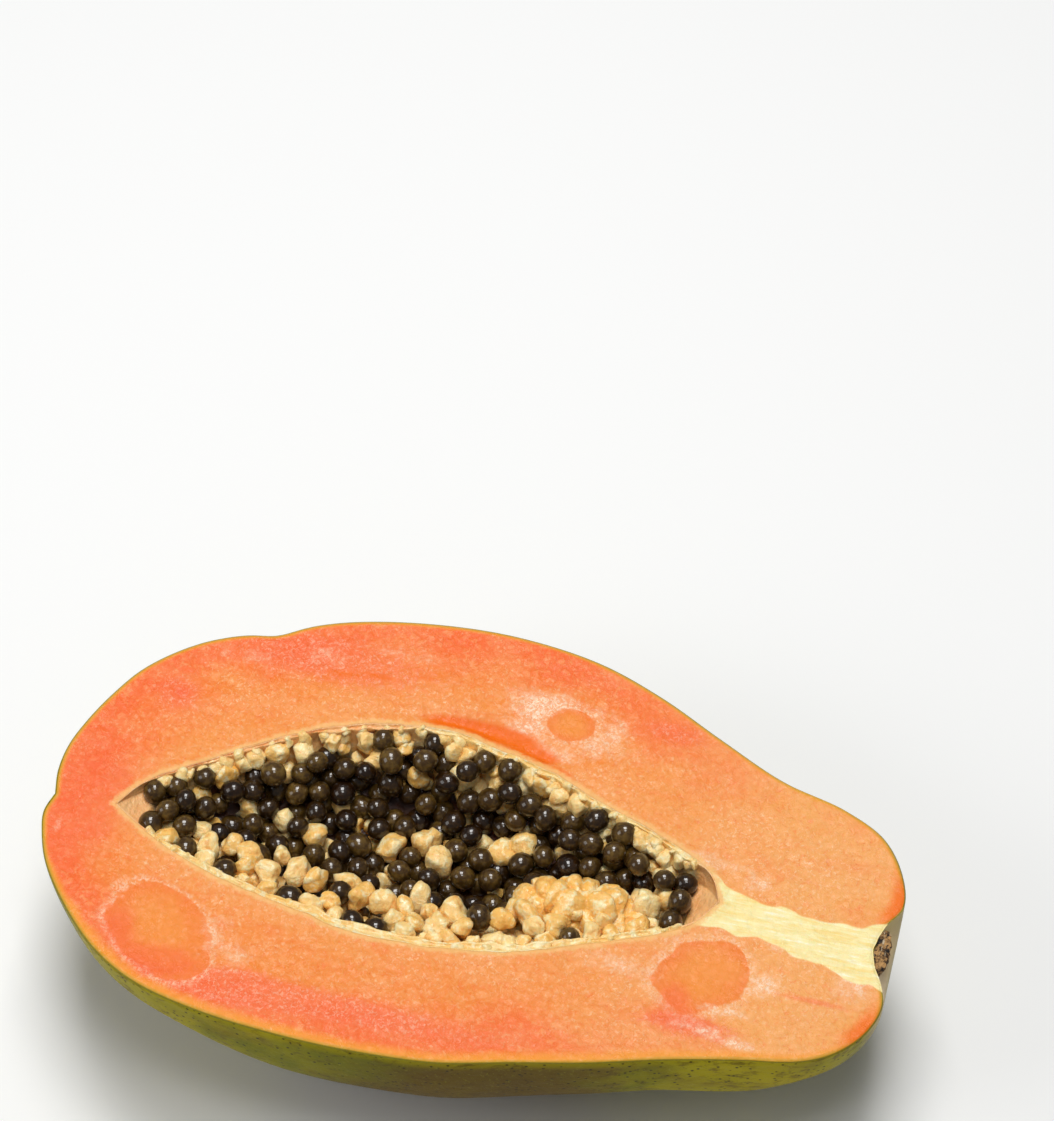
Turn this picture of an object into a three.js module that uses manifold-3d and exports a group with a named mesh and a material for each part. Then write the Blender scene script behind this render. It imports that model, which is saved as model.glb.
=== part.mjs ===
// A ripe papaya cut lengthwise: one half, lying on its skin with the cut face up.
// Millimetres. X runs along the fruit towards the stem end, Y across it, Z up.
// The origin is on the surface that the fruit rests on, under the middle of its outline.
import * as THREE from "three";
import { mergeVertices } from "three/addons/utils/BufferGeometryUtils.js";
import Module from "manifold-3d";

const wasm = await Module();
wasm.setup();

// Driving dimensions
const DEPTH = 54; // height of the cut face above the surface
const FLAT_SINK = 0.7; // how much of the round back is pressed flat where it rests
const RIBS = 5; // soft ribs round the skin of the half
const RIB_HEIGHT = 3; // before it fades towards the rims, the ends and half way along
const LINING_GAP = 0.7; // between the flesh and the pulp lining, measured across the fruit
const LINING = 1.5; // thickness of the pale pulp lining at the rims, without its lumps
const PULP_BED = 3; // how much thicker the lining is low down on the near side
const LUMP_SIZES = [3, 4.4]; // radius of the popcorn-like lumps of pulp
const LUMP_STRETCH = 1.15;
const SEED_RADIUS = 3.1;
const SEED_STRETCH = 1.12; // length of a seed over its width
const SEED_SPACING = 5.6; // nearest distance between seed centres
const SEED_GAP = 0.4; // all round the seeds and their bed, to the lining
const BED_RISE = 0.6; // height of the sticky bed that holds the seeds, above the lining
const BED_THICKNESS = 1.2;
const RIM_MARGIN = 0.5; // least drop from the cut face to the top of a seed
const SEED_RISE = 4.2; // height of a seed's centre above the lining
const PIT_FLOOR = [103.6, -5]; // the deepest point of the pit, in the plane of the cut

// Outlines in the plane of the cut, as points (x, y) from the blossom end to the stem end.
// Both rims start at the blossom scar and end in the pit that the stalk left.
const RIM_FAR = [
  [-107.2, -10.8], [-108.6, -4], [-108.4, 4], [-106.2, 12], [-102, 22], [-96, 32],
  [-84, 42.7], [-66, 51], [-47, 58.7], [-25, 63.2], [-4, 64.3], [18, 61.5],
  [36, 55.1], [54, 46.1], [72, 37.6], [89, 33], [100.3, 27], [106.8, 17.6],
  [108.8, 8.6], [105.4, 2], [103.6, -5],
];
const RIM_NEAR = [
  [-107.2, -10.8], [-108.4, -16.5], [-107, -22.5], [-103.3, -30.8], [-94.5, -42],
  [-84, -51.6], [-72, -58], [-54, -62.1], [-30, -63.9], [-12, -63.6], [6, -61.9],
  [24, -57.4], [42, -53], [60, -47.6], [78, -43.2], [92, -40.2], [100, -36],
  [106.3, -28.8], [109, -20.5], [107.6, -14.6], [105, -9.6], [103.6, -5],
];
// The lowest line of the skin, as points (x, depth under the cut).
const KEEL = [
  [-107.2, 0], [-108.2, 6], [-106, 14], [-100, 24], [-90, 34], [-75, 43.5], [-55, 50.8],
  [-30, 54.4], [-8, DEPTH + FLAT_SINK], [15, 53.3], [40, 47.6], [60, 42.2], [80, 38.6],
  [95, 34.6], [104, 27], [108.4, 17], [108.2, 10], [105.4, 4.6], [103.6, 0],
];
const CAVITY_FAR = [
  [-91.4, -10], [-85.4, -1.1], [-72.5, 8], [-57, 18.6], [-41, 27], [-25, 31],
  [-10, 31.3], [2, 29], [14, 25.6], [27, 20.4], [40, 16.1], [51, 11.5], [60, 6.4], [63.8, -1],
];
const CAVITY_NEAR = [
  [-91.4, -10], [-81, -16.2], [-68, -22], [-53.5, -25.8], [-39, -28.5], [-25, -31],
  [-8, -31.2], [8, -29.6], [19, -26.4], [31, -21.8], [47, -15.3], [58, -9.2], [63.8, -1],
];
const CAVITY_KEEL = [
  [-91.4, 0], [-86, 7], [-72, 15], [-50, 21.5], [-25, 25], [0, 25], [25, 21], [45, 15],
  [58, 8.5], [63.8, 0],
];

// Grid sizes: steps along the fruit, steps round the skin or the cavity, rings on the cut face
const ALONG = 44;
const ROUND = 18;
const CAVITY_ROUND = 10;
const FACE_RINGS = 2;
const PULP_ALONG = 30;
const PULP_ROUND = 12;
const LINING_ENDS = 0.012; // share of the cavity's length that the lining stays short of at each tip
const PULP_ENDS = 0.035; // the same for the hollow over the lining
const CUT_MARGIN = 4; // how far a cutting solid stands past the face that it cuts
const BED_MARGINS = [5, 1]; // steps of the pulp's grid that the seed bed stays short of, along and round

// Repeats: how many there are or are tried, and where the random draw starts
const LUMP_COUNT = 42;
const TRIES = 20000;
const RANDOM_START = 20417;
const PLACE_SHARES = [0.08, 0.92]; // the stretch of the cavity with seeds and lumps
const SEED_ANGLES = [0.1, 0.9]; // how far round the cavity the seeds reach, in half turns

const HALF_TURN = Math.PI;

// A repeatable row of random numbers from 0 to 1.
function randomFrom(start) {
  let state = start;
  return () => {
    state = (state + 0x6d2b79f5) | 0;
    let t = Math.imul(state ^ (state >>> 15), 1 | state);
    t = (t + Math.imul(t ^ (t >>> 7), 61 | t)) ^ t;
    return ((t ^ (t >>> 14)) >>> 0) / 4294967296;
  };
}

// A smooth line through the points, read by its share of arc length.
function smoothLine(points) {
  const curve = new THREE.CatmullRomCurve3(points.map(([x, y]) => new THREE.Vector3(x, y, 0)));
  curve.arcLengthDivisions = 600;
  return (share) => curve.getPointAt(share);
}

// A bowl under the cut plane: at each share of the length a quarter ellipse from the far rim
// down to the keel, and another up to the near rim. angle runs from 0 to half a turn.
function bowlSurface(far, near, keel) {
  const [farLine, nearLine, keelLine] = [far, near, keel].map(smoothLine);
  return (share, angle) => {
    const rim = angle < HALF_TURN / 2 ? farLine(share) : nearLine(share);
    const other = angle < HALF_TURN / 2 ? nearLine(share) : farLine(share);
    const low = keelLine(share);
    const middle = (rim.y + other.y) / 2;
    const across = Math.cos(angle) ** 2;
    return new THREE.Vector3(
      rim.x * across + low.x * (1 - across),
      middle + (rim.y - middle) * Math.abs(Math.cos(angle)),
      DEPTH - low.y * Math.sin(angle),
    );
  };
}

const plainSkin = bowlSurface(RIM_FAR, RIM_NEAR, KEEL);
const cavity = bowlSurface(CAVITY_FAR, CAVITY_NEAR, CAVITY_KEEL);

// The middle of a section, level with the cut.
function sectionMiddle(surface, share) {
  const a = surface(share, 0);
  const b = surface(share, HALF_TURN);
  return a.add(b).multiplyScalar(0.5);
}

// The skin: soft ribs stand out towards both ends, and the back is flat where it rests.
function skin(share, angle) {
  const point = plainSkin(share, angle);
  const outward = point.clone().sub(sectionMiddle(plainSkin, share));
  const fadeAlong = Math.cos(HALF_TURN * share) ** 2 * Math.sin(HALF_TURN * share);
  const fade = Math.sin(angle) ** 2 * fadeAlong;
  const rib = RIB_HEIGHT * fade * Math.cos(RIBS * angle + HALF_TURN / 2);
  if (outward.length() > 1) point.addScaledVector(outward.normalize(), rib);
  point.z = Math.max(point.z, 0);
  return point;
}

// The cavity wall, moved towards the middle of its section by some millimetres.
function insideCavity(share, angle, inward) {
  const point = cavity(share, angle);
  const middle = sectionMiddle(cavity, share);
  const outward = point.sub(middle);
  const reach = outward.length();
  return middle.addScaledVector(outward, Math.max(reach - inward, 0) / reach);
}

// Triangles of a grid of points, row by row; a point that repeats closes the grid there.
function gridTriangles(rows) {
  const triangles = [];
  for (let i = 0; i + 1 < rows.length; i++) {
    for (let j = 0; j + 1 < rows[i].length; j++) {
      const [a, b, c, d] = [rows[i][j], rows[i][j + 1], rows[i + 1][j + 1], rows[i + 1][j]];
      triangles.push([a, c, b], [a, d, c]);
    }
  }
  return triangles;
}

// The same triangles, facing the other way.
const turned = (triangles) => triangles.map(([a, b, c]) => [a, c, b]);

// One closed solid from triangles that share their edges.
function solidOf(triangles) {
  const positions = triangles.flat().flatMap((p) => [p.x, p.y, p.z]);
  const loose = new THREE.BufferGeometry();
  loose.setAttribute("position", new THREE.Float32BufferAttribute(positions, 3));
  const merged = mergeVertices(loose, 1e-3);
  const index = merged.index.array;
  const kept = [];
  for (let i = 0; i < index.length; i += 3) {
    const [a, b, c] = [index[i], index[i + 1], index[i + 2]];
    if (a !== b && b !== c && c !== a) kept.push(a, b, c);
  }
  const mesh = new wasm.Mesh({
    numProp: 3,
    vertProperties: merged.attributes.position.array,
    triVerts: new Uint32Array(kept),
  });
  return new wasm.Manifold(mesh);
}

// The triangles of a three.js geometry, as points.
function trianglesOf(geometry) {
  const flat = geometry.index ? geometry.toNonIndexed() : geometry;
  const position = flat.getAttribute("position");
  const triangles = [];
  for (let i = 0; i < position.count; i += 3) {
    triangles.push([0, 1, 2].map((k) => new THREE.Vector3().fromBufferAttribute(position, i + k)));
  }
  return triangles;
}

// A solid as a three.js geometry.
function geometryOf(solid) {
  const { numProp, vertProperties, triVerts } = solid.getMesh();
  const positions = new Float32Array((vertProperties.length / numProp) * 3);
  for (let i = 0; i < positions.length / 3; i++) {
    positions.set(vertProperties.subarray(i * numProp, i * numProp + 3), i * 3);
  }
  const geometry = new THREE.BufferGeometry();
  geometry.setAttribute("position", new THREE.BufferAttribute(positions, 3));
  geometry.setIndex(new THREE.BufferAttribute(new Uint32Array(triVerts), 1));
  geometry.computeVertexNormals();
  return geometry;
}

function largestBody(solid) {
  return solid.decompose().reduce((a, b) => (a.volume() > b.volume() ? a : b));
}

const shares = (steps) => Array.from({ length: steps + 1 }, (_, i) => i / steps);

// Stations closer together near both ends, where the outline turns.
const stations = (steps, margin = 0) =>
  shares(steps).map((t) => {
    const eased = (t + (1 - Math.cos(HALF_TURN * t)) / 2) / 2;
    return margin + (1 - 2 * margin) * eased;
  });
const pulpStations = stations(PULP_ALONG, PULP_ENDS);

// Flesh and skin: the skin, the flat cut face as rings between both outlines, and the cavity wall.
function fruitWall() {
  const along = stations(ALONG);
  const skinRows = along.map((u) => shares(ROUND).map((t) => skin(u, HALF_TURN * t)));
  const wallRows = along.map((u) => shares(CAVITY_ROUND).map((t) => cavity(u, HALF_TURN * t)));
  const loop = (rows) => [
    ...rows.map((row) => row[0]),
    ...rows.map((row) => row[row.length - 1]).reverse(),
  ];
  const [outer, inner] = [loop(skinRows), loop(wallRows)];
  const face = outer.map((p, i) => shares(FACE_RINGS).map((t) => p.clone().lerp(inner[i], t)));
  return solidOf([
    ...gridTriangles(skinRows),
    ...turned(gridTriangles(face)),
    ...turned(gridTriangles(wallRows)),
  ]);
}

// A solid that fills the cavity to a height, moved inwards by inset(share, angle). It comes to
// a point, or to an upright edge, at both ends.
function cavityFilling(along, roundSteps, inset, top) {
  const rows = along.map((u, i) =>
    shares(roundSteps).map((t) =>
      i === 0 || i === along.length - 1
        ? sectionMiddle(cavity, u)
        : insideCavity(u, HALF_TURN * t, inset(u, HALF_TURN * t)),
    ),
  );
  const raised = (p) => new THREE.Vector3(p.x, p.y, top);
  const walled = rows.map((row) => [
    ...(top > DEPTH ? [raised(row[0])] : []),
    ...row,
    ...(top > DEPTH ? [raised(row[row.length - 1])] : []),
  ]);
  const lid = walled.map((row) => [row[row.length - 1], row[0]]);
  return solidOf([...gridTriangles(walled), ...gridTriangles(lid)]);
}

// Thickness of the lining without its lumps: the pulp lies deepest below the near rim.
function liningDepth(share, angle) {
  const low = Math.sin(angle) ** 1.4 * (0.72 - 0.28 * Math.cos(angle));
  return LINING_GAP + LINING + PULP_BED * low * Math.sin(HALF_TURN * share) ** 0.7;
}

// Draws places above the lining that keep their distance from all that are taken.
function scatter(random, { most, rise, allowed, sizeOf, spacing, taken }) {
  const made = [];
  for (let i = 0; i < TRIES && made.length < most; i++) {
    const share = PLACE_SHARES[0] + (PLACE_SHARES[1] - PLACE_SHARES[0]) * random();
    const angle = HALF_TURN * random();
    const size = sizeOf(random());
    const at = insideCavity(share, angle, liningDepth(share, angle) + rise);
    const near = [...made, ...taken].some((o) => o.at.distanceTo(at) < spacing(size, o.size));
    if (allowed(share, angle, at, random()) && !near) made.push({ share, angle, size, at });
  }
  return made;
}

// Lumps of pulp crowd along both rims, more so on the near side, and are few in the middle.
function pulpShare(share, angle) {
  const farEdge = Math.exp(-((angle / 0.5) ** 2));
  const nearEdge = Math.exp(-(((HALF_TURN - angle) / 0.75) ** 2));
  const mound = Math.exp(-(((share - 0.77) / 0.09) ** 2) - ((angle - 2.1) / 0.6) ** 2);
  return Math.min(1, 0.03 + 0.8 * farEdge + 0.9 * nearEdge + mound);
}

const random = randomFrom(RANDOM_START);
const lumps = scatter(random, {
  most: LUMP_COUNT,
  rise: 0,
  allowed: (share, angle, at, draw) => draw < pulpShare(share, angle),
  sizeOf: (draw) => LUMP_SIZES[0] + (LUMP_SIZES[1] - LUMP_SIZES[0]) * draw,
  spacing: (a, b) => 0.75 * (a + b),
  taken: [],
});
const seedPlaces = scatter(random, {
  most: Infinity,
  rise: SEED_RISE,
  allowed: (share, angle, at) =>
    at.z < DEPTH - SEED_RADIUS - RIM_MARGIN &&
    angle > HALF_TURN * SEED_ANGLES[0] &&
    angle < HALF_TURN * SEED_ANGLES[1],
  sizeOf: () => SEED_RADIUS,
  spacing: (a, b) =>
    b === SEED_RADIUS ? SEED_SPACING : a + b * LUMP_STRETCH,
  taken: lumps,
});

// A ball with few faces at one of the places, turned by its own amount.
function ballSolid({ at, share, angle }, radius, stretch) {
  const turn = new THREE.Quaternion().setFromEuler(
    new THREE.Euler(7 * share, 5 * angle, 11 * share),
  );
  const size = new THREE.Vector3(radius, radius, radius * stretch);
  const matrix = new THREE.Matrix4().compose(at, turn, size);
  return solidOf(trianglesOf(new THREE.IcosahedronGeometry(1, 0).applyMatrix4(matrix)));
}

// The lumps of pulp, grown by a margin.
const lumpSolids = (grow) =>
  wasm.Manifold.union(lumps.map((lump) => ballSolid(lump, lump.size + grow, LUMP_STRETCH)));

// The thin sheet that the seeds are stuck in: two grids, one above the other, closed all round.
function seedBed() {
  const [alongMargin, roundMargin] = BED_MARGINS;
  const along = pulpStations.slice(alongMargin, -alongMargin);
  const round = shares(PULP_ROUND).slice(roundMargin, -roundMargin);
  const sheet = (rise) =>
    along.map((share) =>
      round.map((t) => {
        const angle = HALF_TURN * t;
        return insideCavity(share, angle, liningDepth(share, angle) + rise);
      }),
    );
  const [under, over] = [sheet(BED_RISE), sheet(BED_RISE + BED_THICKNESS)];
  const end = (i) => [under.at(i), over.at(i)];
  const side = (j) => [under.map((row) => row.at(j)), over.map((row) => row.at(j))];
  return solidOf([
    ...gridTriangles(under),
    ...turned(gridTriangles(over)),
    ...turned(gridTriangles(end(0))),
    ...gridTriangles(end(-1)),
    ...gridTriangles(side(0)),
    ...turned(gridTriangles(side(-1))),
  ]);
}

const seedSolids = wasm.Manifold.union(
  seedPlaces.map((seed) => ballSolid(seed, seed.size, SEED_STRETCH)),
);

// The seeds and their bed, which the lumps of pulp push through.
const seedCluster = () => largestBody(seedBed().add(seedSolids).subtract(lumpSolids(SEED_GAP)));

// The pale lining with its lumps.
function pulpLining() {
  const filling = cavityFilling(stations(ALONG, LINING_ENDS), CAVITY_ROUND, () => LINING_GAP, DEPTH);
  const hollow = cavityFilling(pulpStations, PULP_ROUND, liningDepth, DEPTH + CUT_MARGIN);
  return largestBody(filling.subtract(hollow).add(lumpSolids(0).intersect(filling)));
}

// What is left of the stalk: a corky plug in the pit, cut through with the fruit.
function stalkPlug() {
  const profile = [
    [0, 0.7], [2, 1.1], [3.6, 1.9], [4.8, 2.8], [5, 3.4], [4, 4.2], [3, 3.8], [1.8, 4.8], [0, 4.4],
  ];
  const points = profile.map(([r, h]) => new THREE.Vector2(r, h));
  const shape = new THREE.LatheGeometry(points, 16)
    .rotateZ(-HALF_TURN / 2)
    .scale(1, 1.2, 1)
    .translate(PIT_FLOOR[0], PIT_FLOOR[1], DEPTH);
  const above = new THREE.BoxGeometry(20, 20, 20).translate(PIT_FLOOR[0], PIT_FLOOR[1], DEPTH + 10);
  return solidOf(trianglesOf(shape)).subtract(solidOf(trianglesOf(above)));
}

const finishes = {
  fruit_wall: { color: 0xf08a4b, roughness: 0.35 },
  pulp_lining: { color: 0xf0c98a, roughness: 0.5 },
  seeds: { color: 0x2a2118, roughness: 0.15 },
  stalk_plug: { color: 0x6b5640, roughness: 0.9 },
};

const papayaHalf = new THREE.Group();
function addPiece(name, solid) {
  const material = new THREE.MeshStandardMaterial({ ...finishes[name], metalness: 0 });
  const mesh = new THREE.Mesh(geometryOf(solid), material);
  mesh.name = name;
  papayaHalf.add(mesh);
}
addPiece("fruit_wall", fruitWall());
addPiece("pulp_lining", pulpLining());
addPiece("seeds", seedCluster());
addPiece("stalk_plug", stalkPlug());

export default papayaHalf;
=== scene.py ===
from itertools import product

import bpy
import numpy as np
from mathutils import Matrix, Vector


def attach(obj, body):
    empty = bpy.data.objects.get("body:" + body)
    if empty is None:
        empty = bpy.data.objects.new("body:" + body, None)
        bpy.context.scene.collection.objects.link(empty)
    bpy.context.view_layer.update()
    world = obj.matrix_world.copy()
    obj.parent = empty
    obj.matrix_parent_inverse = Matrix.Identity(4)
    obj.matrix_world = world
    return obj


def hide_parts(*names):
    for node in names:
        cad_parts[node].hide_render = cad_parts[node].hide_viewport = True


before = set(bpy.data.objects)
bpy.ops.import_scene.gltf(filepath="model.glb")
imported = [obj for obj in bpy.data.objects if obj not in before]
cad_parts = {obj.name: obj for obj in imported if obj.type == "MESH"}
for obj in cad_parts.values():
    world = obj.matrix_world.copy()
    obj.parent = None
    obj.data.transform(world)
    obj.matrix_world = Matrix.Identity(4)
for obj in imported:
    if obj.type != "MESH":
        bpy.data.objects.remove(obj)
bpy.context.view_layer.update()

MM = 0.001
HALF_TURN = np.pi
BODY = "root"

# The skin: how deep the half is, what the flat spot that it rests on takes off, its ribs and their
# height, how much fuller than an ellipse its near side is, and where along its length the neck is.
DEPTH = 54.0
FLAT_SINK = 0.7
RIBS = 5
RIB_HEIGHT = 3.0
FULLER = 0.2
NECK_SHARE = 0.78
# The pulp: the gap behind it, its least thickness, what it gains at the bottom of the hollow, and
# what it gains under the near rim.
LINING_GAP = 0.02
LINING = 1.2
PULP_BED = 3.0
NEAR_SHELF = 1.2
# The seeds: their mean radius and how much longer than wide they are.
SEED_RADIUS = 3.15
SEED_STRETCH = 1.12

# Outlines in the plane of the cut, as points (x, y) from the blossom end to the stem end.
RIM_FAR = [
    (-107.2, -10.8), (-108.6, -4), (-108.4, 4), (-106.2, 12), (-102, 22), (-96, 32),
    (-84, 42.7), (-66, 51), (-47, 58.7), (-25, 63.2), (-4, 64.3), (18, 61.5),
    (36, 55.1), (54, 46.1), (72, 37.6), (89, 33), (100.3, 27), (106.8, 17.6),
    (108.8, 8.6), (105.4, 2), (103.6, -5),
]
RIM_NEAR = [
    (-107.2, -10.8), (-108.4, -16.5), (-107, -22.5), (-103.3, -30.8), (-94.5, -42),
    (-84, -51.6), (-72, -58), (-54, -62.1), (-30, -63.9), (-12, -63.6), (6, -61.9),
    (24, -57.4), (42, -53), (60, -47.6), (78, -43.2), (92, -40.2), (100, -36),
    (106.3, -28.8), (109, -20.5), (107.6, -14.6), (105, -9.6), (103.6, -5),
]
# The lowest line of the skin, as points (x, depth under the cut).
KEEL = [
    (-107.2, 0), (-108.2, 6), (-106, 14), (-100, 24), (-90, 34), (-75, 43.5), (-55, 50.8),
    (-30, 54.4), (-8, DEPTH + FLAT_SINK), (15, 53.3), (40, 47.6), (60, 42.2), (80, 38.6),
    (95, 34.6), (104, 27), (108.4, 17), (108.2, 10), (105.4, 4.6), (103.6, 0),
]
# The hollow, given the same way.
CAVITY_FAR = [
    (-91.4, -10), (-85.4, -1.1), (-72.5, 8), (-57, 18.6), (-41, 27), (-25, 31),
    (-10, 31.3), (2, 29), (14, 25.6), (27, 20.4), (40, 16.1), (51, 11.5), (60, 6.4), (63.8, -1),
]
CAVITY_NEAR = [
    (-91.4, -10), (-81, -16.2), (-68, -22), (-53.5, -25.8), (-39, -28.5), (-25, -31),
    (-8, -31.2), (8, -29.6), (19, -26.4), (31, -21.8), (47, -15.3), (58, -9.2), (63.8, -1),
]
CAVITY_KEEL = [
    (-91.4, 0), (-86, 7), (-72, 15), (-50, 21.5), (-25, 25), (0, 25), (25, 21), (45, 15),
    (58, 8.5), (63.8, 0),
]
# The pale strand of fibres from the hollow to the stalk, as its two edges in the plane of the cut.
STRAND_FAR = [(59, 7.5), (66, 4.2), (72, 2.2), (84.1, 0.1), (96.7, 0.3), (104, 2.5), (112, 6)]
STRAND_NEAR = [(57, -8.5), (66, -8.6), (75.9, -9.3), (91.8, -12.6), (104, -15.5), (112, -17)]

# A shallow nick in the far rim: its place along x and how far it goes in.
NICK = (-65.5, 1.5)

# Single lumps of pulp that stand out, each as (x, y, z, reach).
MAIN_LUMPS = [
    (-9.4, 1.6, 39.5, 4.6), (-15.0, 7.2, 38.5, 4.0), (-22.5, 3.4, 38.5, 4.0), (5.8, 8.2, 39.5, 3.8),
    (10.4, 10.8, 41, 3.4), (-60, 3.2, 43, 3.4), (-51.5, 2.6, 41.5, 3.4), (-42.0, 0.6, 40, 3.6),
    (-60.5, 16.4, 48.5, 3.4), (-53.8, 14.2, 45.5, 3.3), (-41, 26.5, 50.3, 3.0),
    (-31.3, 22.6, 46.5, 3.4), (-27.3, 29.4, 50.6, 2.9), (-12.4, 28.0, 50.5, 3.1),
    (-8.2, 23.6, 46, 3.7), (11.8, 23.8, 49.5, 3.5), (16.8, 20.8, 46.5, 3.4),
    (-20.3, 21.8, 45, 3.0), (49.5, 0.5, 47.5, 3.2), (-69.5, -8.5, 47, 3.0),
]
# A mound of pulp towards the stalk end, in lobes that are longer across the fruit than along it.
MOUND_AT = (30.0, -6.6, 43.6)
MOUND_REACH = (17.2, 7.6, 8.6)
LOBE = (4.4, 8.0, 6.4)
LOBE_COUNT = 44
# Rows of seeds and lumps along a rim: half-turn angle, distance in from the rim, depth of their
# tops, distance apart and share of lumps.
RIM_ROWS = [
    (0.0, 0.3, 0.1, 6.2, 0.45), (1.0, 1.6, 0.2, 5.8, 0.64), (1.0, 5.2, 0.3, 5.6, 0.68),
    (1.0, 9.6, 1.4, 5.8, 0.6), (1.0, 13.6, 3.2, 6.0, 0.5),
]

# Marks on the cut face. Soft spots are given as (x, y, reach along, reach across, strength).
# White froth and painted highlights:
FROTH_AND_HIGHLIGHT_SPOTS = [
    (12, 46, 13, 4, 1), (22, 38, 12, 7, 1), (5, 40, 8, 7, 1), (12, 31, 8, 2.5, 0.7),
    (56, 9.5, 12, 3, 1), (72, 6.5, 4, 3, 1), (100, -16, 6, 5, 1), (44, -24, 12, 3.5, 0.8),
    (-72, 41, 10, 3, 0.5), (-62, 35, 8, 2, 0.5), (-53, 46, 13, 3.5, 0.6), (-30, 52, 14, 3.5, 0.5),
    (-50, -45, 9, 6, 0.55), (-56, -38, 5, 6, 0.6), (80.4, -21.5, 5, 4, 1.1), (85, -10, 7, 3, 1),
    (67, -37, 9, 1.6, 1), (77, -39.5, 7, 1.5, 1), (71.4, -31, 8, 1.8, 1), (-103.6, -20, 1.2, 3, 1),
]
# Where the oval juicy spot keeps the froth and the painted highlights away:
NO_FROTH_OR_HIGHLIGHT = [(15.1, 40.9, 6, 4.8, 2)]
# Deeper coral, rose and red flesh:
CORAL_SPOTS = [
    (-98, -5, 17, 26, 1), (-85, 28, 16, 12, 0.5), (42, 45, 16, 6, 0.5), (94, -31, 13, 6, 0.45),
]
ROSY_SPOTS = [
    (64, -37, 16, 4, 1), (-50, 46, 32, 9, 1), (-86, 26, 7, 6, 1), (-20, -53, 40, 5, 1),
    (-60, -56, 22, 3, 1), (42, 45, 12, 5, 0.8), (-48, -52, 14, 4, 0.7),
]
RED_SPOTS = [
    (-70, -51, 9, 4.5, 1), (-64, -50, 7, 4, 0.7), (-80, -43, 5, 6, 1), (62, -35.5, 10, 3.6, 1),
    (92, -23, 11, 1.0, 1), (-93, -3, 3.5, 2.5, 1), (-85, 26.5, 2.5, 2, 1), (59, -29, 4, 5, 1),
    (-100, -10, 11, 22, 1.2),
]
# Smears of deep orange juice; the first three are dents too.
JUICY_SMEARS = [
    (-13, 34.3, 10, 2.8, 1), (0, 34, 10, 2.8, 1), (9, 30, 7, 2.4, 1), (15, 26, 5, 1.6, 0.8),
    (-46, 42, 6, 1.2, 0.7), (-36, 43.6, 6, 1.2, 0.7), (-25, 46, 6, 1.1, 0.6),
    (-42, -36, 4, 3, 0.45),
]
# Two shallow dents, with their depth in millimetres:
DENTS = [(-69, -42.6, 13, 11, 0.5), (64, -22.6, 11, 9, 0.5)]
# Red glow along the skin at the stalk's end:
GLOWING_ENDS = [(107, 9, 7, 9, 1), (104, -27, 8, 8, 1)]
# Smooth juicy spots ringed with froth, as (x, y, radius, stretch, turn, width of the ring).
JUICY_SPOTS = [
    (-70.1, -42.2, 11.0, 1.45, -0.66, 0.12), (64.0, -22.6, 10.2, 1.15, 0.5, 0.25),
    (15.1, 40.9, 5.0, 1.25, 0.2, 0.5),
]

# Broad tints of the skin, given like the marks above: brown on the near side under its middle,
# which also paints shade there, yellower at both ends of the near side, which also paints light
# there, and pale round the stalk.
BROWN_AND_PAINTED_SHADE_SKIN = [(5, -45, 42, 20, 1.5)]
YELLOW_AND_PAINTED_LIGHT_SKIN = [(-72, -50, 28, 22, 1), (78, -42, 26, 16, 1)]
STALK_END = [(108, -8, 5, 22, 1)]

# The corky plug: its reach along, across and down, and its middle.
PLUG_REACH = (1.7, 5.6, 4.6)
PLUG_AT = (106.0, -5.0, DEPTH - 0.2)

# Grid sizes: the skin along and round, rings on the cut face, the hollow round, the pulp along and
# round and over its lips, and the cells along each edge of the cube that a round piece starts from.
ALONG = 300
ROUND = 84
FACE_RINGS = 46
WALL_ROUND = 34
PULP_ALONG = 190
PULP_ROUND = 72
LIP_STEPS = 6
SEED_CELLS = 4
LUMP_CELLS = 7
CRUMB_CELLS = 6
MOUND_CELLS = 46
PLUG_CELLS = 24

# Repeats: how many places are tried, how close two may come as a share of both reaches (two lumps,
# a lump and a seed, two seeds), and how many crumbs lie along the far and the near rim.
TRIES = 45000
RANDOM_START = 7
LUMPS_APART = 0.6
LUMP_AND_SEED_APART = 0.74
SEEDS_APART = 0.88
FAR_CRUMBS = 36
NEAR_CRUMBS = 24

# The photograph's view: the camera's place in millimetres, the directions to the right and ahead,
# and the lens in millimetres.
CAMERA_AT = (137.302, -494.786, 912.249)
CAMERA_RIGHT = (0.9703, 0.2419, 0.0)
CAMERA_AHEAD = (-0.1388, 0.5566, -0.8192)
LENS = 126.98

# Studio, in metres: the floor's half width, the room's brightness, and each light's place, width
# and power in watts.
FLOOR_REACH = 6.0
ROOM_LIGHT = 0.15
LIGHTS = {
    "window_light": ((-0.11, 0.38, 1.3), 0.55, 11.8),
    "top_light": ((0.1, -0.18, 1.35), 0.4, 3.6),
    "left_light": ((-0.9, -0.5, 0.75), 0.6, 3.0),
}
LIGHTS_AIM = (0, 0, 0.04)


def hashed(cell, start):
    """A repeatable value from -1 to 1 for each whole-number cell, by mixing its bits."""
    x, y, z = (cell[..., k].astype(np.uint64) for k in range(3))
    h = (x * np.uint64(73856093)) ^ (y * np.uint64(19349663)) ^ (z * np.uint64(83492791))
    h = (h ^ np.uint64(start * 2654435761 + 97)) * np.uint64(0x9E3779B97F4A7C15)
    h = (h ^ (h >> np.uint64(29))) * np.uint64(0xBF58476D1CE4E5B9)
    return ((h >> np.uint64(40)).astype(float) / (2 ** 23)) - 1


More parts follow.
